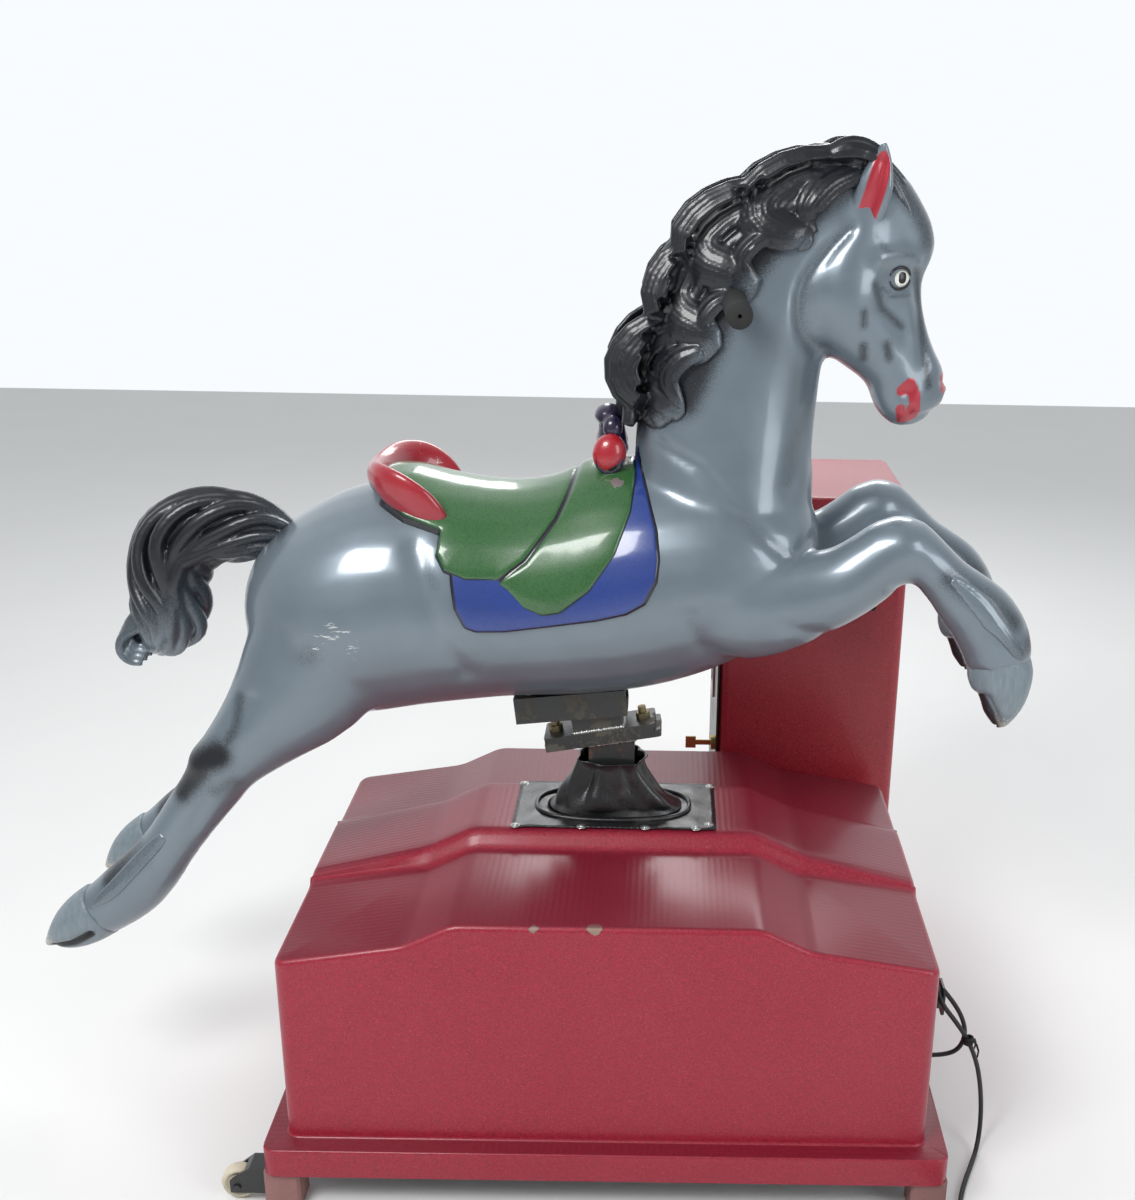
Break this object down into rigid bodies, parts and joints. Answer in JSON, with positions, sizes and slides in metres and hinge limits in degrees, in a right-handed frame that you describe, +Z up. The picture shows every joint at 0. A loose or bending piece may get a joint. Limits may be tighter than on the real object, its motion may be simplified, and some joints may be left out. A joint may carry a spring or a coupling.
{
  "type": "coin-operated kiddie ride",
  "caption": "Coin-operated fibreglass horse ride: a rearing horse on a rocking steel column, over a boxed drive, beside a coin cabinet with a hinged door.",
  "frame": {"origin": "on the floor, straight below the rocker pivot, in the horse's middle plane", "axes": "+X towards the horse's head, +Y towards the coin cabinet, +Z up"},
  "size_m": [1.4305, 1.107, 1.44],
  "materials": {
    "red_gelcoat": "glossy red gelcoat with metal flake",
    "grey_paint": "glossy metallic blue-grey paint over fibreglass",
    "saddle_paint": "glossy green, blue and red paint over fibreglass",
    "black_steel": "black enamel, worn",
    "bright_steel": "turned or plated steel",
    "cast_iron": "painted castings",
    "bronze": "bronze worm wheel",
    "motor_grey": "grey-blue machine enamel",
    "black_plastic": "moulded black plastic",
    "black_rubber": "black rubber",
    "block_paint": "painted floor blocks",
    "cream_tyre": "cream hard-rubber tyre",
    "panel_pale": "pale blank panel",
    "button_red": "red button"
  },
  "bodies": {
    "base": {"base_cover": "red_gelcoat", "frame_long_rails": "black_steel", "frame_end_rails": "black_steel", "bearing_rails": "black_steel", "drive_plate": "black_steel", "foot_blocks": "block_paint", "wheel_brackets": "black_steel", "pillow_blocks": "cast_iron", "gearbox_housing": "cast_iron", "gearbox_stand": "black_steel", "motor_body": "motor_grey", "terminal_box": "black_plastic", "drive_belt": "black_rubber", "boot_plate": "black_rubber", "boot_rivets": "bright_steel", "boot_sleeve": "black_rubber", "cabinet_shell": "red_gelcoat", "notice_panel": "panel_pale", "cabinet_feet": "black_plastic", "cabinet_strap": "black_steel", "door_hinge_pins": "black_steel", "cash_box": "bright_steel", "timer_box": "black_plastic", "transformer": "motor_grey", "cord_gland": "black_plastic", "cord_hanger": "black_steel", "cord_tube": "black_rubber", "cord_coil": "black_rubber", "cord_plug": "black_plastic"},
    "rocker": {"rocker_shaft": "bright_steel", "rocker_column": "black_steel", "lever_pin": "bright_steel", "lower_flange": "black_steel", "upper_bracket": "black_steel", "flange_bolts": "bright_steel", "mount_channel": "black_steel", "channel_bolts": "bright_steel", "horse_shell_left": "grey_paint", "horse_shell_right": "grey_paint", "horse_tail": "grey_paint", "saddle": "saddle_paint", "saddle_screws": "bright_steel", "handlebar": "bright_steel", "grip_left": "black_rubber", "grip_right": "black_rubber"},
    "crank": {"crank": "bright_steel", "worm_wheel": "bronze"},
    "rod": {"connecting_rod": "bright_steel"},
    "worm_shaft": {"worm": "bright_steel", "gearbox_pulley": "cast_iron"},
    "motor_rotor": {"motor_pulley": "cast_iron"},
    "wheel_front": {"wheel_front": "cream_tyre"},
    "wheel_rear": {"wheel_rear": "cream_tyre"},
    "door": {"coin_door": "black_steel", "coin_plate": "bright_steel", "return_cup": "bright_steel", "coin_mechanism": "bright_steel"},
    "lock": {"door_lock": "bright_steel"},
    "return_button": {"return_button": "button_red"},
    "start_button": {"start_button": "button_red"}
  },
  "joints": [
    {"name": "rocker_swing", "type": "hinge", "parent": "base", "child": "rocker", "pos_m": [0, 0, 0.132], "axis": [0, 1, 0], "range_deg": [-8, 8], "deforming": ["boot_sleeve"]},
    {"name": "crank_spin", "type": "hinge", "parent": "base", "child": "crank", "pos_m": [-0.25, 0, 0.272], "axis": [0, 1, 0], "continuous": true},
    {"name": "rod_turn", "type": "hinge", "parent": "crank", "child": "rod", "pos_m": [-0.25, 0, 0.29148], "axis": [0, 1, 0], "continuous": true},
    {"name": "worm_spin", "type": "hinge", "parent": "base", "child": "worm_shaft", "pos_m": [-0.352, 0.04, 0.216], "axis": [1, 0, 0], "continuous": true},
    {"name": "motor_spin", "type": "hinge", "parent": "base", "child": "motor_rotor", "pos_m": [-0.352, 0.178, 0.175], "axis": [1, 0, 0], "continuous": true},
    {"name": "wheel_front_roll", "type": "hinge", "parent": "base", "child": "wheel_front", "pos_m": [-0.521, -0.3, 0.028], "axis": [0, 1, 0], "continuous": true},
    {"name": "wheel_rear_roll", "type": "hinge", "parent": "base", "child": "wheel_rear", "pos_m": [-0.521, 0.26, 0.028], "axis": [0, 1, 0], "continuous": true},
    {"name": "door_swing", "type": "hinge", "parent": "base", "child": "door", "pos_m": [0.161, 0.595, 0.45], "axis": [0, 0, -1], "range_deg": [0, 110]},
    {"name": "lock_turn", "type": "hinge", "parent": "door", "child": "lock", "pos_m": [0.163, 0.318, 0.436], "axis": [1, 0, 0], "range_deg": [0, 90]},
    {"name": "return_press", "type": "slide", "parent": "door", "child": "return_button", "axis": [1, 0, 0], "range_m": [0, 0.004], "stiffness_N_per_m": 300, "springref_m": -0.004},
    {"name": "start_press", "type": "slide", "parent": "door", "child": "start_button", "axis": [1, 0, 0], "range_m": [0, 0.004], "stiffness_N_per_m": 400, "springref_m": -0.004}
  ],
  "couplings": [
    {"joint": "rod_turn", "follows": "crank_spin", "ratio": -1},
    {"joint": "motor_spin", "follows": "worm_spin", "ratio": 2.2963}
  ]
}
